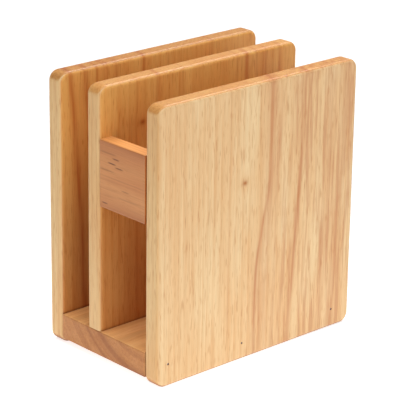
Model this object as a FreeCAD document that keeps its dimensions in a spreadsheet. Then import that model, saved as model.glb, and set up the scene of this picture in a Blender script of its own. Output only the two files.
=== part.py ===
"""Upright wooden rack: three boards that make a narrow and a wide slot on a raised base.

Frame: millimetres, +Z up, origin on the surface that the rack stands on, under its middle.
X runs along the boards and Y across the slots. The front board faces -Y, the left end -X.
"""

import FreeCAD, Part
import os
import Sketcher

# Driving dimensions in millimetres: alias, value, meaning.
SIZES = [
    ("board_width", 200, "length of the upright boards along X"),
    ("board_height", 215, "height of the outer boards"),
    ("board_thickness", 15, "thickness of the upright boards"),
    ("corner_radius", 8, "radius of the boards' corners"),
    ("edge_round", 3, "round along the boards' edges"),
    ("narrow_slot", 30, "gap between the divider and the back board"),
    ("wide_slot", 50, "gap between the front board and the divider"),
    ("base_thickness", 20, "thickness of the base board"),
    ("base_lift", 5, "gap under the base board"),
    ("batten_height", 52, "height of an end batten"),
    ("batten_thickness", 12, "thickness of an end batten"),
    ("batten_level", 124.5, "height of a batten's lower edge"),
    ("arris_round", 1, "round on the base's ends and along the battens"),
    ("brad_length", 35, "length of a brad"),
    ("brad_diameter", 1.2, "diameter of a brad's shank"),
    ("brad_head", 1.8, "diameter of a brad's head"),
    ("brad_head_height", 0.8, "height of a brad's head"),
    ("brad_point", 2, "length of a brad's point"),
    ("brad_sink", 0.4, "how far a brad's head lies below the wood"),
    ("left_brad", -90, "place of the left brad along the front board"),
    ("left_brad_level", 18, "height of the left brad"),
    ("middle_brad", -16, "place of the middle brad along the front board"),
    ("middle_brad_level", 13.5, "height of the middle brad"),
    ("right_brad", 80, "place of the right brad along the front board"),
    ("right_brad_level", 15, "height of the right brad"),
    ("screw_length", 42, "length of a divider screw"),
    ("screw_diameter", 4, "diameter of a divider screw's thread and plain shank"),
    ("screw_hole", 4.4, "diameter of the base board's holes for the divider screws"),
    ("screw_core", 2.6, "diameter of a divider screw under its thread"),
    ("screw_plain", 16, "length of the plain shank, with the head"),
    ("screw_point", 4, "length of a divider screw's point"),
    ("screw_head", 8, "diameter of a divider screw's head"),
    ("screw_sink", 0.5, "how far a divider screw's head lies below the wood"),
    ("screw_pitch", 1.8, "pitch of the thread"),
    ("thread_bite", 0.2, "how far the thread's root is buried in the core"),
    ("screw_spread", 70, "distance from the middle screw to an outer one"),
    ("drive_width", 1, "width of the cross recess's arms"),
    ("drive_span", 4.4, "span of the cross recess"),
    ("drive_depth", 1.6, "depth of the cross recess"),
    ("dowel_diameter", 6, "diameter of a batten dowel"),
    ("dowel_length", 24, "length of a batten dowel"),
    ("dowel_in_board", 9, "depth of a dowel in an upright board"),
    ("dowel_spread", 28, "distance between the two dowels of a joint"),
    ("dowel_chamfer", 0.8, "chamfer on a dowel's ends"),
    ("flute_diameter", 0.9, "diameter of a dowel's glue flutes"),
    ("flute_count", 8, "number of glue flutes"),
]

# Middle planes of the upright boards across the slots, and of a batten.
FRONT_PLACE = "-(sizes.narrow_slot + sizes.wide_slot) / 2 - sizes.board_thickness"
BACK_PLACE = "(sizes.narrow_slot + sizes.wide_slot) / 2 + sizes.board_thickness"
DIVIDER_PLACE = "(sizes.wide_slot - sizes.narrow_slot) / 2"
BATTEN_PLACE = "-(sizes.narrow_slot + sizes.board_thickness) / 2"
BASE_DEPTH = "sizes.narrow_slot + sizes.board_thickness + sizes.wide_slot"

# Heights and the batten's middle along the boards.
BASE_TOP = "sizes.base_lift + sizes.base_thickness"
BATTEN_MIDDLE = "sizes.batten_level + sizes.batten_height / 2"
BATTEN_REACH = "(sizes.board_width - sizes.batten_thickness) / 2"

# Faces that a batten's ends meet.
FRONT_INNER_FACE = "-(sizes.narrow_slot + sizes.board_thickness + sizes.wide_slot) / 2"
DIVIDER_FRONT_FACE = "(sizes.wide_slot - sizes.narrow_slot - sizes.board_thickness) / 2"

ENDS = {"left": "-1", "middle": "0", "right": "1"}
BATTEN_ENDS = ["left", "right"]
LEVELS = {"lower": "-1", "upper": "1"}

X_AXIS = FreeCAD.Vector(1, 0, 0)
Z_AXIS = FreeCAD.Vector(0, 0, 1)
TINY = 1e-6

document = FreeCAD.newDocument("wooden_rack")


def make_sheet():
    """Write the driving dimensions into a sheet, each under its alias."""
    sheet = document.addObject("Spreadsheet::Sheet", "sizes")
    for row, (alias, size, meaning) in enumerate(SIZES, start=1):
        sheet.set(f"A{row}", meaning)
        sheet.set(f"B{row}", str(size))
        sheet.setAlias(f"B{row}", alias)
    document.recompute()


def value(expression):
    """Work out an expression on the sheet's cells."""
    return float(document.getObject("sizes").evalExpression(expression))


def make_body(label, x="0", y="0", z="0", turn_about=Z_AXIS, turn=0):
    """Start a sub-part whose own origin lies at x, y, z, turned about one axis."""
    body = document.addObject("PartDesign::Body", label)
    body.Label = label
    body.Placement = FreeCAD.Placement(FreeCAD.Vector(), FreeCAD.Rotation(turn_about, turn))
    for axis, place in (("x", x), ("y", y), ("z", z)):
        body.setExpression(f"Placement.Base.{axis}", place)
    return body


def sketch_on(body, name, role, offset="0"):
    """Attach a sketch to one of the body's own planes, moved along the plane's normal."""
    plane = next(item for item in body.Origin.OriginFeatures if item.Role == role)
    sketch = body.newObject("Sketcher::SketchObject", name)
    sketch.AttachmentSupport = [(plane, "")]
    sketch.MapMode = "FlatFace"
    sketch.setExpression("AttachmentOffset.Base.z", offset)
    return sketch


def bind(sketch, name, kind, points, size):
    """Add a named dimension to a sketch and drive it from the sheet."""
    constraint = Sketcher.Constraint(kind, *points, value(size))
    sketch.renameConstraint(sketch.addConstraint(constraint), name)
    sketch.setExpression(f"Constraints.{name}", size)


def draw_outline(sketch, corners):
    """Draw a closed outline of straight lines whose corners' places are expressions."""
    points = [FreeCAD.Vector(value(across), value(up), 0) for across, up in corners]
    lines = []
    for start, end in zip(points, points[1:] + points[:1]):
        lines.append(sketch.addGeometry(Part.LineSegment(start, end), False))
    for line, following in zip(lines, lines[1:] + lines[:1]):
        sketch.addConstraint(Sketcher.Constraint("Coincident", line, 2, following, 1))
    for number, (line, (across, up)) in enumerate(zip(lines, corners), start=1):
        bind(sketch, f"across_{number}", "DistanceX", (-1, 1, line, 1), across)
        bind(sketch, f"up_{number}", "DistanceY", (-1, 1, line, 1), up)


def draw_rectangle(sketch, width, height):
    """Draw a rectangle that stands on the sketch's X axis, with its middle on the Y axis."""
    reach = f"({width}) / 2"
    corners = [(f"-{reach}", "0"), (reach, "0"), (reach, height), (f"-{reach}", height)]
    draw_outline(sketch, corners)


def draw_circle(sketch, name, diameter, across="0", up="0"):
    """Draw a circle with its middle at across, up from the sketch's origin."""
    middle = FreeCAD.Vector(value(across), value(up), 0)
    circle = sketch.addGeometry(Part.Circle(middle, Z_AXIS, value(diameter) / 2), False)
    bind(sketch, f"{name}_diameter", "Diameter", (circle,), diameter)
    bind(sketch, f"{name}_across", "DistanceX", (-1, 1, circle, 3), across)
    bind(sketch, f"{name}_up", "DistanceY", (-1, 1, circle, 3), up)


def pad(body, sketch, length):
    """Give a sketch a thickness, half on each side of its plane."""
    feature = body.newObject("PartDesign::Pad", "blank")
    feature.Profile = sketch
    feature.SideType = "Symmetric"
    feature.setExpression("Length", length)
    document.recompute()
    return feature


def turn_profile(body, corners):
    """Revolve a half section, whose first and last corners lie on the body's Z axis."""
    sketch = sketch_on(body, "half_section", "XZ_Plane")
    draw_outline(sketch, corners)
    feature = body.newObject("PartDesign::Revolution", "turned_blank")
    feature.Profile = sketch
    feature.ReferenceAxis = (sketch, ["V_Axis"])
    document.recompute()
    return feature


def dress_edges(body, kind, name, base, chosen, size_name, size):
    """Fillet or chamfer those edges of a feature whose bounding boxes pass a test."""
    edges = enumerate(base.Shape.Edges, start=1)
    feature = body.newObject(kind, name)
    feature.Base = (base, [f"Edge{number}" for number, edge in edges if chosen(edge.BoundBox)])
    feature.setExpression(size_name, size)
    document.recompute()
    return feature


def round_edges(body, name, base, chosen, radius):
    """Round those edges of a feature whose bounding boxes pass a test."""
    return dress_edges(body, "PartDesign::Fillet", name, base, chosen, "Radius", radius)


def check_cut(body, before):
    """Stop if a pocket or hole took no material away."""
    if body.Shape.Volume > before - TINY:
        raise RuntimeError(f"{body.Tip.Label} of {body.Label} cuts nothing")


def cut(body, sketch, depth=None, other_way=False):
    """Pocket a sketch to a depth, or right through, against or along the sketch's normal."""
    before = body.Shape.Volume
    feature = body.newObject("PartDesign::Pocket", f"{sketch.Label}_cut")
    feature.Profile = sketch
    feature.Reversed = other_way
    if depth is None:
        feature.Type = "ThroughAll"
    else:
        feature.setExpression("Length", depth)
    document.recompute()
    check_cut(body, before)
    return feature


def runs_across(box):
    """Tell an edge that runs along Y."""
    return box.YLength > TINY


def lies_in_face(box):
    """Tell an edge that lies in a plane square to Y."""
    return box.YLength < TINY


def make_board(label, middle, foot, height, rounded_foot, turn=0):
    """An upright board with rounded corners and edges; a square foot stands on the base."""
    body = make_body(label, y=middle, z=foot, turn=turn)
    outline = sketch_on(body, "outline", "XZ_Plane")
    draw_rectangle(outline, "sizes.board_width", height)
    blank = pad(body, outline, "sizes.board_thickness")

    def above_foot(box):
        return rounded_foot or box.ZMax > TINY

    def corner(box):
        return runs_across(box) and above_foot(box)

    def face_edge(box):
        return lies_in_face(box) and above_foot(box)

    cornered = round_edges(body, "corners", blank, corner, "sizes.corner_radius")
    round_edges(body, "edges", cornered, face_edge, "sizes.edge_round")
    return body


def brad_place(end):
    """Place of a brad along the front board and up it."""
    return f"sizes.{end}_brad", f"sizes.{end}_brad_level"


def drill_for_brads(body):
    """Drill an outer board for its brads, with a recess for each head."""
    for name, diameter in (("shank", "sizes.brad_diameter"), ("head", "sizes.brad_head")):
        sketch = sketch_on(body, f"brad_{name}s", "XZ_Plane", "sizes.board_thickness / 2")
        for end in ENDS:
            draw_circle(sketch, end, diameter, *brad_place(end))
        depth = "sizes.brad_sink + sizes.brad_head_height" if name == "head" else None
        cut(body, sketch, depth)


def drill_board_for_dowels(body, face, foot, other_way):
    """Drill blind dowel holes into the face of a board that the battens meet."""
    sketch = sketch_on(body, "dowel_holes", "XZ_Plane", face)
    for end in BATTEN_ENDS:
        for level, sign in LEVELS.items():
            across = f"{ENDS[end]} * ({BATTEN_REACH})"
            up = f"{BATTEN_MIDDLE} - ({foot}) + {sign} * sizes.dowel_spread / 2"
            draw_circle(sketch, f"{end}_{level}", "sizes.dowel_diameter", across, up)
    cut(body, sketch, "sizes.dowel_in_board", other_way)


def make_front_board():
    body = make_board("front_panel", FRONT_PLACE, "0", "sizes.board_height", True)
    drill_for_brads(body)
    drill_board_for_dowels(body, "-sizes.board_thickness / 2", "0", True)


def make_back_board():
    """The back board is the front board turned round, without the battens' dowel holes."""
    body = make_board("back_panel", BACK_PLACE, "0", "sizes.board_height", True, turn=180)
    drill_for_brads(body)


def make_divider():
    """The divider stands on the base, fixed by screws from below."""
    height = f"sizes.board_height - ({BASE_TOP})"
    body = make_board("divider_panel", DIVIDER_PLACE, BASE_TOP, height, False)
    drill_board_for_dowels(body, "sizes.board_thickness / 2", BASE_TOP, False)
    sketch = sketch_on(body, "screw_holes", "XY_Plane")
    for end, sign in ENDS.items():
        draw_circle(sketch, end, "sizes.screw_diameter", f"{sign} * sizes.screw_spread")
    depth = "sizes.screw_sink + sizes.screw_length - sizes.base_thickness"
    cut(body, sketch, depth, other_way=True)


def drill_base_for_brads(body, side, face, turned):
    """Drill one long side of the base board for the brads of the board beside it."""
    sketch = sketch_on(body, f"{side}_brad_holes", "XZ_Plane", face)
    for end in ENDS:
        along, level = brad_place(end)
        across = f"-{along}" if turned else along
        draw_circle(sketch, end, "sizes.brad_diameter", across, f"{level} - sizes.base_lift")
    depth = "sizes.brad_length + sizes.brad_sink - sizes.board_thickness"
    cut(body, sketch, depth, other_way=turned)


def drill_base_for_screws(body):
    """Drill and countersink the base board from below for the divider's screws."""
    sketch = sketch_on(body, "screw_holes", "XY_Plane")
    for end, sign in ENDS.items():
        across = f"{sign} * sizes.screw_spread"
        draw_circle(sketch, end, "sizes.screw_hole", across, DIVIDER_PLACE)
    before = body.Shape.Volume
    hole = body.newObject("PartDesign::Hole", "countersunk_holes")
    hole.Profile = sketch
    hole.Reversed = True
    hole.DepthType = "ThroughAll"
    hole.setExpression("Diameter", "sizes.screw_hole")
    hole.HoleCutType = "Countersink"
    hole.HoleCutCustomValues = True
    hole.setExpression("HoleCutDiameter", "sizes.screw_head + 2 * sizes.screw_sink")
    hole.HoleCutCountersinkAngle = 90
    document.recompute()
    check_cut(body, before)


def make_base():
    """The base board lies between the outer boards, clear of the surface below."""
    body = make_body("base_board", z="sizes.base_lift")
    outline = sketch_on(body, "outline", "YZ_Plane")
    draw_rectangle(outline, BASE_DEPTH, "sizes.base_thickness")
    blank = pad(body, outline, "sizes.board_width")
    round_edges(body, "ends", blank, runs_across, "sizes.arris_round")
    drill_base_for_brads(body, "front", f"({BASE_DEPTH}) / 2", turned=False)
    drill_base_for_brads(body, "back", f"-({BASE_DEPTH}) / 2", turned=True)
    drill_base_for_screws(body)


def make_batten(end):
    """A short batten across one end of the wide slot, held by blind dowels."""
    along = f"{ENDS[end]} * ({BATTEN_REACH})"
    body = make_body(f"{end}_batten", x=along, y=BATTEN_PLACE, z="sizes.batten_level")
    outline = sketch_on(body, "outline", "XZ_Plane")
    draw_rectangle(outline, "sizes.batten_thickness", "sizes.batten_height")
    blank = pad(body, outline, "sizes.wide_slot")
    round_edges(body, "long_edges", blank, runs_across, "sizes.arris_round")
    faces = (("front", "sizes.wide_slot / 2", False), ("rear", "-sizes.wide_slot / 2", True))
    for name, face, other_way in faces:
        sketch = sketch_on(body, f"{name}_dowel_holes", "XZ_Plane", face)
        for level, sign in LEVELS.items():
            up = f"sizes.batten_height / 2 + {sign} * sizes.dowel_spread / 2"
            draw_circle(sketch, level, "sizes.dowel_diameter", up=up)
        cut(body, sketch, "sizes.dowel_length - sizes.dowel_in_board", other_way)


def make_brad(side, end, outer_face, turn):
    """A headed brad; its own origin is on its head and it points down its own Z axis."""
    along, level = brad_place(end)
    if side == "back":
        along = f"-{along}"
    body = make_body(f"{side}_{end}_brad", along, outer_face, level, X_AXIS, turn)
    head = "sizes.brad_head / 2"
    shank = "sizes.brad_diameter / 2"
    turn_profile(body, [
        ("0", "0"),
        (head, "0"),
        (head, "-sizes.brad_head_height"),
        (shank, "-sizes.brad_head_height"),
        (shank, "sizes.brad_point - sizes.brad_length"),
        ("0", "-sizes.brad_length"),
    ])


def make_brads():
    front_face = f"{FRONT_PLACE} - sizes.board_thickness / 2 + sizes.brad_sink"
    back_face = f"{BACK_PLACE} + sizes.board_thickness / 2 - sizes.brad_sink"
    for end in ENDS:
        make_brad("front", end, front_face, 90)
        make_brad("back", end, back_face, -90)


def add_thread(body):
    """Wind a tapered tooth round a screw's core, from its point to its plain shank."""
    root = "sizes.screw_core / 2 - sizes.thread_bite"
    crest = "sizes.screw_diameter / 2"
    start = "sizes.screw_point - sizes.screw_length"
    tooth = sketch_on(body, "tooth", "XZ_Plane")
    draw_outline(tooth, [
        (root, start),
        (crest, f"{start} + 0.35 * sizes.screw_pitch"),
        (crest, f"{start} + 0.45 * sizes.screw_pitch"),
        (root, f"{start} + 0.8 * sizes.screw_pitch"),
    ])
    thread = body.newObject("PartDesign::AdditiveHelix", "thread")
    thread.Profile = tooth
    thread.ReferenceAxis = (tooth, ["V_Axis"])
    thread.Mode = "pitch-height-angle"
    thread.setExpression("Pitch", "sizes.screw_pitch")
    length = "sizes.screw_length - sizes.screw_point - sizes.screw_plain - sizes.screw_pitch"
    thread.setExpression("Height", length)
    document.recompute()


def cut_drive(body):
    """Cut the cross recess into a screw's head."""
    for name, width, height in (
        ("lying_arm", "sizes.drive_span", "sizes.drive_width"),
        ("standing_arm", "sizes.drive_width", "sizes.drive_span"),
    ):
        sketch = sketch_on(body, name, "XY_Plane")
        draw_outline(sketch, [
            (f"-{width} / 2", f"-{height} / 2"),
            (f"{width} / 2", f"-{height} / 2"),
            (f"{width} / 2", f"{height} / 2"),
            (f"-{width} / 2", f"{height} / 2"),
        ])
        cut(body, sketch, "sizes.drive_depth")


def make_screw(end):
    """A countersunk wood screw, driven up through the base into the divider's foot."""
    along = f"{ENDS[end]} * sizes.screw_spread"
    level = "sizes.base_lift + sizes.screw_sink"
    body = make_body(f"{end}_divider_screw", along, DIVIDER_PLACE, level, X_AXIS, 180)
    head = "sizes.screw_head / 2"
    shank = "sizes.screw_diameter / 2"
    core = "sizes.screw_core / 2"
    turn_profile(body, [
        ("0", "0"),
        (head, "0"),
        (shank, f"{shank} - {head}"),
        (shank, "-sizes.screw_plain"),
        (core, "-sizes.screw_plain"),
        (core, "sizes.screw_point - sizes.screw_length"),
        ("0", "-sizes.screw_length"),
    ])
    add_thread(body)
    cut_drive(body)


def make_dowel(end, joint, level, middle):
    """A fluted dowel along Y, with chamfered ends; its own origin is at its middle."""
    along = f"{ENDS[end]} * ({BATTEN_REACH})"
    height = f"{BATTEN_MIDDLE} + {LEVELS[level]} * sizes.dowel_spread / 2"
    body = make_body(f"{end}_{joint}_{level}_dowel", along, middle, height)
    outline = sketch_on(body, "outline", "XZ_Plane")
    draw_circle(outline, "dowel", "sizes.dowel_diameter")
    blank = pad(body, outline, "sizes.dowel_length")
    dress_edges(body, "PartDesign::Chamfer", "ends", blank, lies_in_face,
                "Size", "sizes.dowel_chamfer")
    flute = sketch_on(body, "flute", "XZ_Plane", "sizes.dowel_length / 2")
    draw_circle(flute, "flute", "sizes.flute_diameter", up="sizes.dowel_diameter / 2")
    first = cut(body, flute)
    ring = body.newObject("PartDesign::PolarPattern", "flutes")
    ring.Originals = [first]
    ring.Axis = (flute, ["N_Axis"])
    ring.Angle = 360
    ring.setExpression("Occurrences", "sizes.flute_count")
    body.Tip = ring
    document.recompute()


def make_dowels():
    middles = {
        "front": f"{FRONT_INNER_FACE} - sizes.dowel_in_board + sizes.dowel_length / 2",
        "rear": f"{DIVIDER_FRONT_FACE} + sizes.dowel_in_board - sizes.dowel_length / 2",
    }
    for end in BATTEN_ENDS:
        for joint, middle in middles.items():
            for level in LEVELS:
                make_dowel(end, joint, level, middle)


def check_document():
    """Stop if any feature failed or any sub-part has no sound shape."""
    for item in document.Objects:
        if {"Invalid", "Error"} & set(item.State):
            raise RuntimeError(f"{item.Label} failed: {item.State}")
    for body in bodies():
        shape = body.Shape
        if shape.isNull() or not shape.isValid() or len(shape.Solids) != 1:
            raise RuntimeError(f"{body.Label} is not one sound solid")


def bodies():
    return [item for item in document.Objects if item.TypeId == "PartDesign::Body"]


def main():
    make_sheet()
    make_front_board()
    make_back_board()
    make_divider()
    make_base()
    for end in BATTEN_ENDS:
        make_batten(end)
    make_brads()
    for end in ENDS:
        make_screw(end)
    make_dowels()
    document.recompute()
    check_document()
    os.makedirs("parts", exist_ok=True)
    for body in bodies():
        body.Shape.exportStep(f"parts/{body.Label}.step")


main()
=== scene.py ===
"""Looks for a slotted wooden rack: three upright boards, a base board and two end battens.

Everything is in metres in the CAD model's own frame; the wood materials work in millimetres.
The six boards are rebuilt here as denser meshes, and they replace the CAD boards; the three
uprights have lightly worn edges. Knots and torn grain are in the materials. The brads, screws and
dowels stay as the CAD model has them.
"""

import math

import bmesh
import bpy
import numpy as np
from mathutils import Matrix, Vector, noise


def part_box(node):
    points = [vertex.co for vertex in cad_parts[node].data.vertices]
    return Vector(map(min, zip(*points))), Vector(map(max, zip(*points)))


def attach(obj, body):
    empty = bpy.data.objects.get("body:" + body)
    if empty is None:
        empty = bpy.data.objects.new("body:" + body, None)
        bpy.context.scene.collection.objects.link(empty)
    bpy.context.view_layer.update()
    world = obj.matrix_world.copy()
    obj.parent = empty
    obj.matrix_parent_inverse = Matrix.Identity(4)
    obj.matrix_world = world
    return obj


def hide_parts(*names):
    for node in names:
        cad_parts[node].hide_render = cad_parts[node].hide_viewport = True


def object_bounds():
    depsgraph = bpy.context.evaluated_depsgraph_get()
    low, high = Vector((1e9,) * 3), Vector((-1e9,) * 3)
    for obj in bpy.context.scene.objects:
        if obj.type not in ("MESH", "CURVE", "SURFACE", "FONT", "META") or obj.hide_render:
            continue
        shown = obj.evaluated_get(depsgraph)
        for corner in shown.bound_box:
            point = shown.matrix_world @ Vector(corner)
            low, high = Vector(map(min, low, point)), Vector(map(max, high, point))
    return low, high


MM = 0.001

# Camera: place in metres, angles in degrees, lens and sensor in millimetres.
CAMERA_PLACE = (-0.9968, -1.0794, 0.6340)
CAMERA_AZIMUTH = -42.632
CAMERA_ELEVATION = 19.7285
CAMERA_ROLL = 0.780
CAMERA_LENS = 183.97
SENSOR_WIDTH = 36.0

# Shape of the boards, as in the CAD model.
CORNER_RADIUS = 8 * MM
EDGE_ROUND = 3 * MM
ARRIS_ROUND = 1 * MM
SHARP_EDGE = 0.35 * MM
EDGE_WEAR = 0.12 * MM

# Height of the base board's top, in millimetres: the line along the slots where a dark seam of painted
# shade runs.
BASE_TOP = 25.0
SEAM_WIDTH = 1.2
SEAM_SHADE_TINT = (0.4, 0.3, 0.25)

# Heights in millimetres between which the painted shade on the inner faces changes from its low to its
# full tint.
INSIDE_LOW, INSIDE_HIGH = 60.0, 190.0

# Holes for the fasteners: (radius, distance from the outer end), in metres.
OUTSIDE = -2 * MM
BRAD_HOLE = [(0.9 * MM, OUTSIDE), (0.9 * MM, 0.8 * MM), (0.6 * MM, 0.8 * MM), (0.6 * MM, 35 * MM)]
SCREW_HOLE = [(6 * MM, OUTSIDE), (4 * MM, 0), (2.2 * MM, 1.8 * MM), (2.2 * MM, 19.5 * MM),
              (2 * MM, 19.5 * MM), (2 * MM, 42 * MM)]
DOWEL_HOLE = [(3 * MM, 0), (3 * MM, 24 * MM)]
HOLE_SIDES = 32

# Spacing of the boards' grid lines: (close, wide, how far the close ones reach from an end).
UPRIGHT_GRID = (0.8 * MM, 3 * MM, 9 * MM)
THICKNESS_GRID = (0.5 * MM, 1.5 * MM, 4 * MM)
SAWN_GRID = (0.4 * MM, 2.5 * MM, 1.6 * MM)

# Extra grid lines round a knot, from its middle.
KNOT_STEPS = np.arange(-6, 6.1, 0.75) * MM

# Features of the wear along the edges, and the least radius that wear leaves.
LONG_WEAR, SHORT_WEAR = 40 * MM, 9 * MM
LEAST_EDGE = 0.1 * MM


# ---------------------------------------------------------------- meshes


def grid_lines(low, high, fine, coarse, margin):
    """Places of grid lines from low to high, close together within the margin of each end."""
    near = np.linspace(0, margin, max(2, round(margin / fine) + 1))
    steps = round((high - low - 2 * margin) / coarse)
    middle = np.linspace(low + margin, high - margin, max(2, steps + 1))
    return np.unique(np.round(np.concatenate([low + near, middle, high - near]), 7))


def box_surface(lines):
    """Vertices and quads of a closed box whose faces carry a grid of lines along X, Y and Z."""
    counts = [len(places) for places in lines]
    index = {}
    vertices = []

    def vertex(key):
        if key not in index:
            index[key] = len(vertices)
            vertices.append([lines[axis][key[axis]] for axis in range(3)])
        return index[key]

    faces = []
    for axis in range(3):
        across, up = (axis + 1) % 3, (axis + 2) % 3
        for end in (0, counts[axis] - 1):
            for i in range(counts[across] - 1):
                for j in range(counts[up] - 1):
                    corners = []
                    for step_i, step_j in ((0, 0), (1, 0), (1, 1), (0, 1)):
                        key = [0, 0, 0]
                        key[axis], key[across], key[up] = end, i + step_i, j + step_j
                        corners.append(vertex(tuple(key)))
                    faces.append(corners if end else corners[::-1])
    return np.array(vertices), faces


def round_off(points, low, high, corner, edge, square_foot):
    """Move points of a box's surface onto a slab with rounded corners in X-Z and rounded edges.

    Each point goes out from the nearest point of a smaller slab by the edge's radius.
    """
    half = (high - low) / 2
    local = points - (low + high) / 2
    edge = edge[:, None]
    floor = -10 * half[2] if square_foot else -(half[2] - corner)
    centre = local[:, [0, 2]].copy()
    centre[:, 0] = np.clip(centre[:, 0], -(half[0] - corner), half[0] - corner)
    centre[:, 1] = np.clip(centre[:, 1], floor, half[2] - corner)
    outwards = local[:, [0, 2]] - centre
    distance = np.maximum(np.linalg.norm(outwards, axis=1, keepdims=True), 1e-12)
    inner = centre + outwards * np.minimum(1, (corner - edge) / distance)
    thickness = (half[1] - edge)[:, 0]
    core = np.column_stack([inner[:, 0], np.clip(local[:, 1], -thickness, thickness), inner[:, 1]])
    away = local - core
    length = np.maximum(np.linalg.norm(away, axis=1, keepdims=True), 1e-12)
    reach = np.minimum(np.abs(away).max(axis=1, keepdims=True), edge)
    return core + away / length * reach + (low + high) / 2


def wander(points, size, seed):
    """A smooth random number from -1 to 1 for each point, with features of that size in metres."""
    offset = Vector((seed * 7.3, seed * 3.1, seed * 5.7))
    return np.array([noise.noise(Vector(point) / size + offset) for point in points])


def mesh_object(name, vertices, faces):
    mesh = bpy.data.meshes.new(name)
    mesh.from_pydata([tuple(place) for place in vertices], [], faces)
    mesh.update()
    made = bpy.data.objects.new(name, mesh)
    bpy.context.scene.collection.objects.link(made)
    return made


def shade(board, angle=40):
    """Smooth the board's rounded edges and keep its cut edges crisp."""
    board.data.shade_smooth()
    board.data.set_sharp_from_angle(angle=math.radians(angle))


def lathe(profile, outer_end, direction):
    """Closed turned solid: profile is (radius, distance from the outer end along the direction)."""
    turn = Vector((0, 0, 1)).rotation_difference(direction)
    vertices = []
    faces = []
    for radius, distance in profile:
        for step in range(HOLE_SIDES):
            angle = 2 * math.pi * step / HOLE_SIDES
            ring_point = Vector((radius * math.cos(angle), radius * math.sin(angle), distance))
            vertices.append(outer_end + turn @ ring_point)
    for ring in range(len(profile) - 1):
        for step in range(HOLE_SIDES):
            start = ring * HOLE_SIDES + step
            following = ring * HOLE_SIDES + (step + 1) % HOLE_SIDES
            faces.append((start, following, following + HOLE_SIDES, start + HOLE_SIDES))
    last = (len(profile) - 1) * HOLE_SIDES
    faces.append(tuple(range(HOLE_SIDES))[::-1])
    faces.append(tuple(range(last, last + HOLE_SIDES)))
    return vertices, faces


def fastener_hole(node):
    """The hole that a brad, screw or dowel fills, from its box in the frame."""
    low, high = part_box(node)
    middle = (low + high) / 2
    if node.endswith("_screw"):
        return lathe(SCREW_HOLE, Vector((middle.x, middle.y, low.z)), Vector((0, 0, 1)))
    if node.startswith("back_"):
        return lathe(BRAD_HOLE, Vector((middle.x, high.y, middle.z)), Vector((0, -1, 0)))
    profile = BRAD_HOLE if node.endswith("_brad") else DOWEL_HOLE
    return lathe(profile, Vector((middle.x, low.y, middle.z)), Vector((0, 1, 0)))


def drill(board, nodes):
    """Cut the fasteners' holes into a board."""
    vertices = []
    faces = []
    for node in nodes:
        hole_vertices, hole_faces = fastener_hole(node)
        faces += [tuple(corner + len(vertices) for corner in face) for face in hole_faces]
        vertices += hole_vertices
    cutter = mesh_object("cutter", vertices, faces)
    modifier = board.modifiers.new("holes", "BOOLEAN")
    modifier.operation = "DIFFERENCE"
    modifier.solver = "EXACT"
    modifier.object = cutter
    cut = bpy.data.meshes.new_from_object(board.evaluated_get(bpy.context.evaluated_depsgraph_get()))
    board.modifiers.clear()
    board.data = cut
    bpy.data.objects.remove(cutter)


def make_board(name, node, lines, corner, edge, wear, square_foot=False, holes=()):
    """One wooden board in place of a CAD node: rounded, lightly worn, drilled, on the root body."""
    low, high = (np.array(end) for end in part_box(node))
    vertices, faces = box_surface(lines(low, high))
    long_wear = wear * wander(vertices, LONG_WEAR, len(name))
    worn = edge + long_wear + wear * wander(vertices, SHORT_WEAR, 3)
    places = round_off(vertices, low, high, corner, np.maximum(worn, LEAST_EDGE), square_foot)
    board = mesh_object(name, places, faces)
    drill(board, holes)
    shade(board)
    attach(board, "root")
    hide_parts(node)
    return board


def upright_lines(knots=()):
    """Grid lines for an upright board: close at its rounded edges and round its knots."""
    def lines(low, high):
        along = grid_lines(low[0], high[0], *UPRIGHT_GRID)
        up = grid_lines(low[2], high[2], *UPRIGHT_GRID)
        for across, level in knots:
            along = np.union1d(along, across * MM + KNOT_STEPS)
            up = np.union1d(up, level * MM + KNOT_STEPS)
        return [along, grid_lines(low[1], high[1], *THICKNESS_GRID), up]
    return lines


def sawn_lines(low, high):
    """Grid lines for a board with square-cut ends and lightly broken edges."""
    return [grid_lines(low[axis], high[axis], *SAWN_GRID) for axis in range(3)]


# ---------------------------------------------------------------- materials


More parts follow.
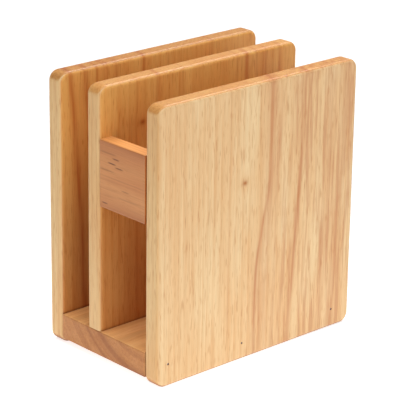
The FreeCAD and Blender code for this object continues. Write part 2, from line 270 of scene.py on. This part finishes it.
class Graph:
    """Builds a material's shader nodes. Each method returns the new node's output socket."""

    def __init__(self, name):
        self.material = bpy.data.materials.new(name)
        self.material.use_nodes = True
        self.tree = self.material.node_tree
        self.surface = self.tree.nodes["Principled BSDF"].inputs

    def node(self, kind, inputs, output=0, **settings):
        made = self.tree.nodes.new("ShaderNode" + kind)
        for setting, value in settings.items():
            setattr(made, setting, value)
        for socket, value in inputs.items():
            self.put(made.inputs[socket], value)
        return made.outputs[output]

    def put(self, socket, value):
        """Link a socket, or set its constant."""
        if isinstance(value, bpy.types.NodeSocket):
            self.tree.links.new(value, socket)
        else:
            socket.default_value = value

    def math(self, operation, *values):
        return self.node("Math", dict(enumerate(values)), operation=operation)

    def add(self, first, second):
        return self.math("ADD", first, second)

    def minus(self, first, second):
        return self.math("SUBTRACT", first, second)

    def times(self, first, second):
        return self.math("MULTIPLY", first, second)

    def larger(self, first, second):
        return self.math("MAXIMUM", first, second)

    def ramp(self, value, low, high, start=0.0, end=1.0):
        """Smooth change from start to end as the value goes from low to high."""
        return self.node("MapRange", {0: value, 1: low, 2: high, 3: start, 4: end},
                         interpolation_type="SMOOTHSTEP")

    def bell(self, *distances):
        """1 at the middle, falling smoothly to 0 within about two units of distance."""
        total = self.times(distances[0], distances[0])
        for distance in distances[1:]:
            total = self.add(total, self.times(distance, distance))
        return self.math("EXPONENT", self.times(total, -1.0))

    def span(self, value, middle, width):
        """Distance of a value from the middle, in widths."""
        return self.times(self.minus(value, middle), 1.0 / width)

    def vector(self, x, y, z):
        return self.node("CombineXYZ", {0: x, 1: y, 2: z})

    def noise(self, place, across, along, seed, detail=1.0):
        """Noise from about 0 to 1 with features of that size across and along the grain."""
        u, v, w = place
        at = self.vector(self.add(self.times(u, 1.0 / across), seed * 3.7),
                         self.times(v, 1.0 / across), self.times(w, 1.0 / along))
        return self.node("TexNoise", {"Vector": at, "Scale": 1.0, "Detail": detail})

    def mix(self, amount, first, second, blend="MIX"):
        """Mix two colours; each is a socket or (red, green, blue)."""
        colours = [value if isinstance(value, bpy.types.NodeSocket) else (*value, 1.0)
                   for value in (first, second)]
        return self.node("Mix", {0: amount, 6: colours[0], 7: colours[1]}, output=2,
                         data_type="RGBA", blend_type=blend)

    def curve(self, value, points):
        """A smooth curve through points of (value, result)."""
        starts, results = zip(*points)
        low, high = min(starts), max(starts)
        floor, ceiling = min(results), max(results)
        made = self.tree.nodes.new("ShaderNodeFloatCurve")
        line = made.mapping.curves[0]
        while len(line.points) < len(points):
            line.points.new(0.5, 0.5)
        for point, (start, result) in zip(line.points, sorted(points)):
            point.location = ((start - low) / (high - low), (result - floor) / (ceiling - floor))
        made.mapping.update()
        self.put(made.inputs["Value"], self.times(self.minus(value, low), 1 / (high - low)))
        return self.add(self.times(made.outputs[0], ceiling - floor), floor)


def colour(red, green, blue):
    """A colour as a screen shows it (0 to 255), in the linear values that shaders take."""
    def linear(value):
        value /= 255
        return value / 12.92 if value <= 0.04045 else ((value + 0.055) / 1.055) ** 2.4
    return tuple(linear(value) for value in (red, green, blue))


def grain_place(graph, axes):
    """Place in millimetres and the surface's direction: both as (across, across, along the grain)."""
    coordinates = graph.tree.nodes.new("ShaderNodeTexCoord")
    split = {}
    for name in ("Object", "Normal"):
        parts = graph.tree.nodes.new("ShaderNodeSeparateXYZ")
        graph.put(parts.inputs[0], coordinates.outputs[name])
        split[name] = [parts.outputs["XYZ".index(axis)] for axis in axes]
    place = [graph.times(part, 1000.0) for part in split["Object"]]
    return place, split["Normal"]


def rippled(graph, place, wood):
    """The place after the grain has rippled, and swept round the board's knots."""
    u, v, w = place
    ripple = graph.minus(graph.noise(place, 12.0, 60.0, wood["seed"] + 5), 0.5)
    shift = graph.times(ripple, wood["ripple"])
    for across, level, size in wood["knots"]:
        sideways = graph.span(u, across, 2.2 * size)
        near = graph.bell(sideways, graph.span(w, level, 4.5 * size))
        shift = graph.minus(shift, graph.times(graph.times(near, sideways), 1.3 * size))
    return [graph.add(u, shift), v, w]


def drifted(graph, place, wood):
    """The place after the whole tree has wandered."""
    drift = graph.minus(graph.noise(place, 45.0, 190.0, wood["seed"]), 0.5)
    shift = graph.times(drift, wood["drift"])
    return [graph.add(place[0], shift), graph.add(place[1], shift), place[2]]


def ring_distance(graph, place, wood):
    """Distance from the tree's pith, in millimetres."""
    across = graph.minus(place[0], wood["pith"][0])
    depth = graph.minus(place[1], wood["pith"][1])
    return graph.math("SQRT", graph.add(graph.times(across, across), graph.times(depth, depth)))


def growth_rings(graph, place, distance, wood):
    """Growth rings: 0 in the early wood, rising to 1 at each ring's late wood."""
    count = graph.times(distance, 1.0 / wood["ring"])
    uneven = graph.noise([count, 0.0, 0.0], 3.0, 1.0, wood["seed"] + 11)
    count = graph.add(count, graph.times(uneven, 2.2))
    part = graph.math("FRACT", count)
    late = graph.times(graph.math("POWER", part, 2.4), graph.ramp(part, 0.86, 1.0, 1.0, 0.0))
    strength = graph.noise([graph.math("FLOOR", count), 0.0, place[2]], 1.7, 90.0, wood["seed"] + 23)
    return graph.times(late, graph.ramp(strength, 0.25, 0.75, 0.25, 1.9))


def streak_mask(graph, place, face, streak, seed):
    """A dark or coloured streak that follows a path up the board's face, patchy along its length."""
    path, width, strength, lean = streak
    u, v, w = place
    centre = graph.add(graph.curve(w, path), graph.times(graph.minus(v, face), lean))
    sideways = graph.times(graph.minus(u, centre), 1.0 / width)
    patches = graph.noise(place, 3.0, 45.0, seed)
    return graph.times(graph.bell(sideways), graph.ramp(patches, 0.3, 0.62, 0.45 * strength, strength))


def dash_mask(graph, place, dashes):
    """Short dark dashes of torn grain: (place across, start and stop along the grain, width, strength)."""
    total = 0.0
    for across, start, stop, width, strength in dashes:
        along = graph.span(place[2], (start + stop) / 2, abs(stop - start) / 2)
        dash = graph.bell(graph.span(place[0], across, width), graph.times(along, along))
        total = graph.larger(graph.times(dash, strength), total)
    return total


def tinted(graph, amount, base, tint):
    """The base colour, multiplied by a tint where the amount is 1."""
    return graph.mix(amount, base, graph.mix(1.0, base, tint, "MULTIPLY"))


def grown_colour(graph, base, warped, rings, wood):
    """The wood's slow change of tone, its growth rings and its broad bands."""
    seed = wood["seed"]
    tone = graph.noise(warped, 16.0, 120.0, seed + 31, detail=2.0)
    band = graph.noise(warped, 2.1, 70.0, seed + 51, detail=2.0)
    base = graph.mix(graph.ramp(tone, 0.3, 0.7), base, wood["warm"])
    base = graph.mix(graph.times(rings, wood["ring_strength"]), base, wood["line"])
    return graph.mix(graph.ramp(band, 0.5, 0.75, 0.0, wood["band_strength"]), base, wood["line"])


def streaked(graph, base, swept, distance, wood):
    """The base colour with a blush on one side, streaks along the grain and bands round the pith."""
    seed = wood["seed"]
    start, end, strength = wood["blush"]
    blotches = graph.ramp(graph.noise(swept, 3.2, 60.0, seed + 66, detail=3.0), 0.45, 0.66)
    flush = graph.times(blotches, graph.ramp(swept[0], start, end, 0.0, strength))
    base = graph.mix(flush, base, wood["streak"])
    for number, streak in enumerate(wood["streaks"]):
        mask = streak_mask(graph, swept, wood["face"], streak, seed + 71 + number)
        base = graph.mix(mask, base, wood["streak"])
    for radius, width, strength in wood["bands"]:
        band_mask = graph.times(graph.bell(graph.span(distance, radius, width)), strength)
        base = graph.mix(band_mask, base, wood["streak"])
    return base


def knotted(graph, base, place, wood):
    """The base colour with a dark core and a fainter halo at each knot."""
    for across, level, size in wood["knots"]:
        core = graph.bell(graph.span(place[0], across, size), graph.span(place[2], level, 0.8 * size))
        halo = graph.bell(graph.span(place[0], across, 2.2 * size),
                          graph.span(place[2], level, 2.8 * size))
        base = graph.mix(graph.times(halo, 0.45), base, wood["line"])
        base = graph.mix(graph.times(core, 0.85), base, wood["knot"])
    return base


def fibrous(graph, base, fibre, wood):
    """The base colour, lighter and darker with the fibres."""
    shade_of_fibre = graph.ramp(fibre, 0.25, 0.75, 1.0 - wood["fibre"], 1.0 + wood["fibre"])
    shading = graph.vector(shade_of_fibre, shade_of_fibre, shade_of_fibre)
    return graph.mix(1.0, base, shading, "MULTIPLY")


def painted_slot_shading(graph, place, wood):
    """Painted shade on the faces inside the slots, deeper towards the base, with a dark seam of painted
    shade at its top; the base's wood uses it for painted light.
    """
    inside = graph.mix(graph.ramp(place[2], INSIDE_LOW, INSIDE_HIGH), wood["inside_low"], wood["inside"])
    # A dark line of painted shade where the boards meet the base's top.
    seam = graph.times(graph.bell(graph.span(place[2], BASE_TOP, SEAM_WIDTH)), wood["seam"])
    return tinted(graph, seam, inside, SEAM_SHADE_TINT)


def end_grain(graph, base, place, wood):
    """The base colour as end grain: darker and mottled."""
    mottle = graph.ramp(graph.noise(place, 1.6, 1.6, wood["seed"] + 81, detail=3.0), 0.35, 0.65)
    return graph.mix(1.0, base, graph.mix(mottle, wood["end"], wood["end_dark"]), "MULTIPLY")


def faced(graph, base, place, normal, wood):
    """The base colour, tinted by the side of the board: inner faces (painted shade, or painted light on
    the base), edges (painted light on the battens' tops), ends (with a painted highlight left along the
    top arrises) and underside (painted shade).
    """
    edges = graph.ramp(graph.math("ABSOLUTE", normal[0]), 0.55, 0.95)
    # The end-grain tint is held off the arrises that turn towards the faces, leaving a pale line there: a
    # painted highlight.
    painted_arris_highlight = graph.times(graph.math("ABSOLUTE", normal[1]), 0.6)
    ends = graph.ramp(graph.minus(graph.math("ABSOLUTE", normal[2]), painted_arris_highlight), 0.15, 0.45)
    # Faces that look down are darker: painted shade.
    underside = graph.ramp(normal[wood["axes"].index("Z")], -0.25, -0.75)
    inside = painted_slot_shading(graph, place, wood)
    cut = end_grain(graph, base, place, wood)
    # The faces inside the slots get painted shade; the base's top gets painted light.
    for side in wood["inner_sides"]:
        inner = graph.ramp(graph.times(normal[1], side), 0.6, 0.85)
        base = tinted(graph, inner, base, inside)
    # On the battens the edge tint falls on the top and bottom faces and lightens them: painted light.
    base = tinted(graph, edges, base, wood["edge"])
    base = graph.mix(ends, base, cut)
    return tinted(graph, underside, base, wood["underside"])


def varnish(graph, wood, fibre, relief):
    """Relief, roughness and a thin clear coat."""
    bump = graph.node("Bump", {"Strength": 0.35, "Distance": 0.00012, "Height": relief})
    graph.put(graph.surface["Normal"], bump)
    graph.put(graph.surface["Roughness"], graph.add(graph.times(fibre, 0.12), wood["roughness"]))
    graph.surface["Specular IOR Level"].default_value = 0.22
    graph.surface["Coat Weight"].default_value = wood["varnish"]
    graph.surface["Coat Roughness"].default_value = 0.3


def wood_material(name, wood):
    """Varnished wood: growth rings, wandering streaks, pores, fibres, knots and end grain."""
    graph = Graph(name)
    seed = wood["seed"]
    place, normal = grain_place(graph, wood["axes"])
    swept = rippled(graph, place, wood)
    warped = drifted(graph, swept, wood)
    distance = ring_distance(graph, warped, wood)
    rings = growth_rings(graph, warped, distance, wood)
    fibre = graph.noise(warped, 0.55, 16.0, seed + 41, detail=3.0)
    pores = graph.ramp(graph.noise(warped, 0.9, 11.0, seed + 61), 0.56, 0.72)
    torn = dash_mask(graph, swept, wood["dashes"])

    base = grown_colour(graph, wood["pale"], warped, rings, wood)
    base = streaked(graph, base, swept, distance, wood)
    base = graph.mix(torn, base, wood["knot"])
    base = graph.mix(graph.times(pores, wood["pore_strength"]), base, wood["pore"])
    base = knotted(graph, base, place, wood)
    base = fibrous(graph, base, fibre, wood)
    graph.put(graph.surface["Base Color"], faced(graph, base, place, normal, wood))

    relief = graph.add(graph.times(fibre, 0.5), graph.times(rings, 0.35))
    relief = graph.minus(relief, graph.add(graph.times(pores, 0.5), graph.times(torn, 3.0)))
    varnish(graph, wood, fibre, relief)
    return graph.material


# Woods. Places are in millimetres, as (across, across, along the grain) of each board's axes. A knot
# is (across, along, size). A streak is (path, width, strength, lean), and its path is drawn
# as (height, across) at each bend. A band is (radius from the pith, width, strength).
PALE_WOOD = {
    "axes": "XYZ", "pith": (60, 95), "ring": 3.4, "drift": 3.0, "ripple": 1.2, "face": -62.5,
    "pale": colour(228, 198, 151), "warm": colour(223, 184, 134), "line": colour(207, 150, 94),
    "streak": colour(190, 125, 80), "pore": colour(186, 120, 66), "knot": colour(162, 88, 20),
    # inside and inside_low: painted shade on the faces inside the slots, deeper near the base.
    "inner_sides": (1.0,), "inside": (1.0, 0.75, 0.4), "inside_low": (0.78, 0.5, 0.27),
    # seam: strength of the dark seam of painted shade at the base's top. underside: painted shade on faces
    # that look down.
    "seam": 0.8, "underside": (0.5, 0.34, 0.24),
    "edge": (0.97, 0.9, 0.78), "end": (0.89, 0.67, 0.4), "end_dark": (0.8, 0.56, 0.32),
    "ring_strength": 0.45, "band_strength": 0.3, "pore_strength": 0.45, "fibre": 0.05,
    "roughness": 0.36, "varnish": 0.06, "blush": (0, 100, 0.0), "bands": (), "dashes": (),
}

FRONT_WOOD = {**PALE_WOOD, "seed": 3, "blush": (-5, 30, 0.55), "knots": [(-16, 141, 2.2)],
              "streaks": [
    ([(0, -4), (50, -4), (100, 2), (150, 10), (215, 10)], 1.5, 0.8, 0.5),
    ([(0, 1), (60, 2), (100, 6), (150, 12), (215, 11)], 6.5, 0.42, 0.5),
    ([(0, 32), (40, 34), (150, 42), (215, 45)], 2.0, 0.8, 0.4),
    ([(0, 65), (60, 68), (150, 72), (215, 71)], 4, 0.4, 0.3),
    ([(0, 80), (110, 84), (160, 88), (215, 88)], 4, 0.45, 0.2),
    ([(0, -32), (215, -31)], 0.7, 0.3, 0.0),
]}

DIVIDER_WOOD = {**PALE_WOOD, "seed": 8, "face": 2.5, "inner_sides": (-1.0, 1.0),
                "knots": [(-59, 181, 2.6)], "pith": (20, -140), "streaks": [
    ([(0, at), (215, at + 1)], width, strength, 0.2) for at, width, strength in (
        (-65, 1.2, 0.4), (-45, 1.8, 0.7), (-20, 1.2, 0.4), (35, 1.2, 0.5), (45, 2.2, 0.8),
        (55, 1.2, 0.5), (65, 1.2, 0.5), (80, 1.5, 0.5))
]}

BACK_WOOD = {**PALE_WOOD, "seed": 14, "end": (0.76, 0.54, 0.31), "end_dark": (0.66, 0.43, 0.23),
             "face": 47.5, "inner_sides": (-1.0,), "knots": [], "pith": (-50, 160), "streaks": [
    ([(0, -77), (110, -82), (215, -91)], 2.6, 0.9, 0.2),
    ([(0, -62), (110, -70), (215, -76)], 2.6, 0.8, 0.2),
    ([(0, -64), (215, -65)], 1.1, 0.7, 0.1),
    ([(0, -57), (215, -58)], 1.0, 0.6, 0.1),
    ([(0, -54), (215, -55)], 1.0, 0.8, 0.1),
    ([(0, -45), (215, -46)], 2.6, 0.5, 0.1),
    ([(0, -20), (215, -19)], 2.2, 0.8, 0.2),
    ([(0, 5), (215, 6)], 1.2, 0.4, 0.1),
    ([(0, 50), (215, 51)], 1.5, 0.5, 0.1),
]}

BASE_WOOD = {**PALE_WOOD, "seed": 21, "axes": "YZX", "pith": (-45, 79), "ring": 4.5, "knots": [],
             "drift": 2.0, "ripple": 0.6, "streaks": [],
             "bands": ((60, 1.6, 0.3), (73, 2.2, 0.4), (75, 5.0, 0.3), (84, 2.2, 0.4), (95, 2.0, 0.25)),
             "ring_strength": 0.4,
             "pale": colour(212, 169, 122), "warm": colour(206, 160, 110), "line": colour(184, 126, 78),
             "streak": colour(150, 92, 58), "edge": (1.0, 1.0, 1.0),
             "end": (0.84, 0.62, 0.42), "end_dark": (0.76, 0.55, 0.37), "inner_sides": (1.0,),
             # The base's top inside the slots is made lighter: painted light.
             "inside": (1.5, 1.45, 1.25), "inside_low": (1.5, 1.45, 1.25), "seam": 0.0}

BATTEN_WOOD = {**PALE_WOOD, "seed": 27, "axes": "ZXY", "pith": (150, 20), "ring": 3.0, "knots": [],
               "drift": 2.0, "ripple": 0.8, "streaks": [], "inner_sides": (),
               "pale": colour(207, 144, 91), "warm": colour(199, 132, 81), "line": colour(164, 98, 60),
               # The edge tint lightens the battens' top face: painted light.
               "knot": colour(92, 44, 30), "edge": (1.38, 1.5, 1.3)}

# Torn grain: (height, start and stop along the batten, width, strength).
LEFT_BATTEN_WOOD = {**BATTEN_WOOD, "dashes": (
    (165, -19, -12, 0.5, 0.8), (161, -15, -7, 0.5, 0.9), (159, -23, -15, 0.5, 0.8),
    (129, -6, 0, 0.5, 0.8), (155, -13, 3, 0.5, 0.4), (168, -16, 3, 0.8, 0.35),
    (150, -48, 3, 0.5, 0.2), (137, -40, -18, 0.5, 0.25), (143, -30, -22, 0.5, 0.4))}


def plain_material(name, base, roughness, metallic):
    """A material for the small fasteners, with faint wear in its roughness."""
    graph = Graph(name)
    place = grain_place(graph, "XYZ")[0]
    wear = graph.noise(place, 0.8, 0.8, 4, detail=3.0)
    tint = graph.ramp(wear, 0.3, 0.7)
    graph.put(graph.surface["Base Color"], graph.mix(tint, base, tuple(0.8 * part for part in base)))
    graph.put(graph.surface["Roughness"], graph.add(graph.times(wear, 0.2), roughness - 0.1))
    graph.surface["Metallic"].default_value = metallic
    bump = graph.node("Bump", {"Strength": 0.2, "Distance": 0.00005, "Height": wear})
    graph.put(graph.surface["Normal"], bump)
    return graph.material


def paint(thing, material):
    thing.data.materials.clear()
    thing.data.materials.append(material)


# ---------------------------------------------------------------- stage


# Half the floor's width, and how strongly it glows everywhere and near the rack.
FLOOR_HALF = 6.0
FLOOR_GLOW, NEAR_GLOW = 0.12, 0.75
WORLD_STRENGTH = 0.27

# Soft square lights: name, place, width, power. All of them shine at the same point.
LIGHT_TARGET = (0, 0, 0.1)
LIGHTS = (
    ("top_light", (0.0, -0.2, 1.8), 2.0, 25.5),
    ("front_light", (-0.6, -2.4, 0.9), 1.6, 15.5),
    ("left_light", (-2.4, -0.4, 0.7), 1.6, 6),
    ("back_light", (1.2, 0.6, 1.8), 0.8, 25),
)


def make_floor(bounds):
    """A wide, plain, nearly white floor under the rack. It glows, most strongly near the rack, so that it
    lights the rack from below and washes out its shadow.
    """
    level = bounds[0].z
    half = FLOOR_HALF
    corners = [(-half, -half, level), (half, -half, level), (half, half, level), (-half, half, level)]
    floor = mesh_object("floor", corners, [(0, 1, 2, 3)])
    graph = Graph("glowing_floor")
    place = grain_place(graph, "XYZ")[0]
    near = graph.bell(graph.span(place[0], -60.0, 240.0), graph.span(place[1], -40.0, 240.0))
    graph.surface["Base Color"].default_value = (0.8, 0.8, 0.8, 1)
    graph.surface["Roughness"].default_value = 0.9
    graph.surface["Specular IOR Level"].default_value = 0.1
    graph.surface["Emission Color"].default_value = (1, 1, 1, 1)
    glow = graph.add(graph.times(near, NEAR_GLOW), FLOOR_GLOW)
    graph.put(graph.surface["Emission Strength"], glow)
    paint(floor, graph.material)


def make_world():
    world = bpy.data.worlds.new("studio")
    world.use_nodes = True
    background = world.node_tree.nodes["Background"]
    background.inputs["Color"].default_value = (1, 1, 1, 1)
    background.inputs["Strength"].default_value = WORLD_STRENGTH
    bpy.context.scene.world = world


def make_light(name, place, width, power):
    """A square soft light that shines from a place towards the rack."""
    data = bpy.data.lights.new(name, "AREA")
    data.energy = power
    data.size = width
    light = bpy.data.objects.new(name, data)
    light.location = place
    light.rotation_euler = (Vector(LIGHT_TARGET) - Vector(place)).to_track_quat("-Z", "Y").to_euler()
    bpy.context.scene.collection.objects.link(light)


def make_camera():
    data = bpy.data.cameras.new("camera")
    data.sensor_width = SENSOR_WIDTH
    data.lens = CAMERA_LENS
    data.clip_end = 20
    camera = bpy.data.objects.new("camera", data)
    azimuth, elevation, roll = (
        math.radians(angle) for angle in (CAMERA_AZIMUTH, CAMERA_ELEVATION, CAMERA_ROLL))
    camera.matrix_world = (Matrix.Translation(CAMERA_PLACE) @ Matrix.Rotation(azimuth, 4, "Z")
                           @ Matrix.Rotation(math.pi / 2 - elevation, 4, "X")
                           @ Matrix.Rotation(roll, 4, "Z"))
    bpy.context.scene.collection.objects.link(camera)
    bpy.context.scene.camera = camera


# ---------------------------------------------------------------- the rack


def names(*parts):
    """Every name made of one word from each part."""
    found = [""]
    for words in parts:
        found = [start + word for start in found for word in words.split(" ")]
    return found


THREE = "left_ middle_ right_"
FRONT_BRADS = names("front_", THREE, "brad")
BACK_BRADS = names("back_", THREE, "brad")
SCREWS = names(THREE, "divider_screw")
FRONT_DOWELS = names("left_ right_", "front_", "lower_dowel upper_dowel")
REAR_DOWELS = names("left_ right_", "rear_", "lower_dowel upper_dowel")


def make_rack():
    knots = {name: [knot[:2] for knot in wood["knots"]]
             for name, wood in (("front", FRONT_WOOD), ("divider", DIVIDER_WOOD))}
    front = make_board("front_board", "front_panel", upright_lines(knots["front"]), CORNER_RADIUS,
                       EDGE_ROUND, EDGE_WEAR, holes=FRONT_BRADS + FRONT_DOWELS)
    divider = make_board("divider_board", "divider_panel", upright_lines(knots["divider"]), CORNER_RADIUS,
                         EDGE_ROUND, EDGE_WEAR, square_foot=True, holes=SCREWS + REAR_DOWELS)
    back = make_board("back_board", "back_panel", upright_lines(), CORNER_RADIUS,
                      EDGE_ROUND, EDGE_WEAR, holes=BACK_BRADS)
    base = make_board("base", "base_board", sawn_lines, ARRIS_ROUND, SHARP_EDGE, 0.0,
                      holes=FRONT_BRADS + BACK_BRADS + SCREWS)
    paint(front, wood_material("front_wood", FRONT_WOOD))
    paint(divider, wood_material("divider_wood", DIVIDER_WOOD))
    paint(back, wood_material("back_wood", BACK_WOOD))
    paint(base, wood_material("base_wood", BASE_WOOD))
    for end, wood in (("left", LEFT_BATTEN_WOOD), ("right", BATTEN_WOOD)):
        dowels = [name for name in FRONT_DOWELS + REAR_DOWELS if name.startswith(end)]
        batten = make_board(f"{end}_batten_board", f"{end}_batten", sawn_lines, ARRIS_ROUND,
                            SHARP_EDGE, 0.0, holes=dowels)
        paint(batten, wood_material(f"{end}_batten_wood", wood))


def finish_fasteners(nodes):
    steel = plain_material("brad_steel", (0.12, 0.11, 0.15), 0.45, 1.0)
    zinc = plain_material("screw_zinc", (0.62, 0.61, 0.58), 0.35, 1.0)
    beech = plain_material("dowel_beech", colour(214, 176, 128), 0.6, 0.0)
    for name, node in nodes.items():
        if name.endswith("_brad"):
            paint(node, steel)
        elif name.endswith("_screw"):
            paint(node, zinc)
        elif name.endswith("_dowel"):
            paint(node, beech)


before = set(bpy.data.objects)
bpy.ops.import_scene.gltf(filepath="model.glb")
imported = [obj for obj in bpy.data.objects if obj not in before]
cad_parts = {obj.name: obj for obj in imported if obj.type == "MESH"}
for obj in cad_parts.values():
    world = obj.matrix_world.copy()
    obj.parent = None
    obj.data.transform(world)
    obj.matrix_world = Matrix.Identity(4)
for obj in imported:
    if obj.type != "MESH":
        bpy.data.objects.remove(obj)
cad_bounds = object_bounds()
make_rack()
finish_fasteners(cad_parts)
make_floor(cad_bounds)
make_world()
for light in LIGHTS:
    make_light(*light)
make_camera()
bpy.context.scene.view_settings.view_transform = "Standard"
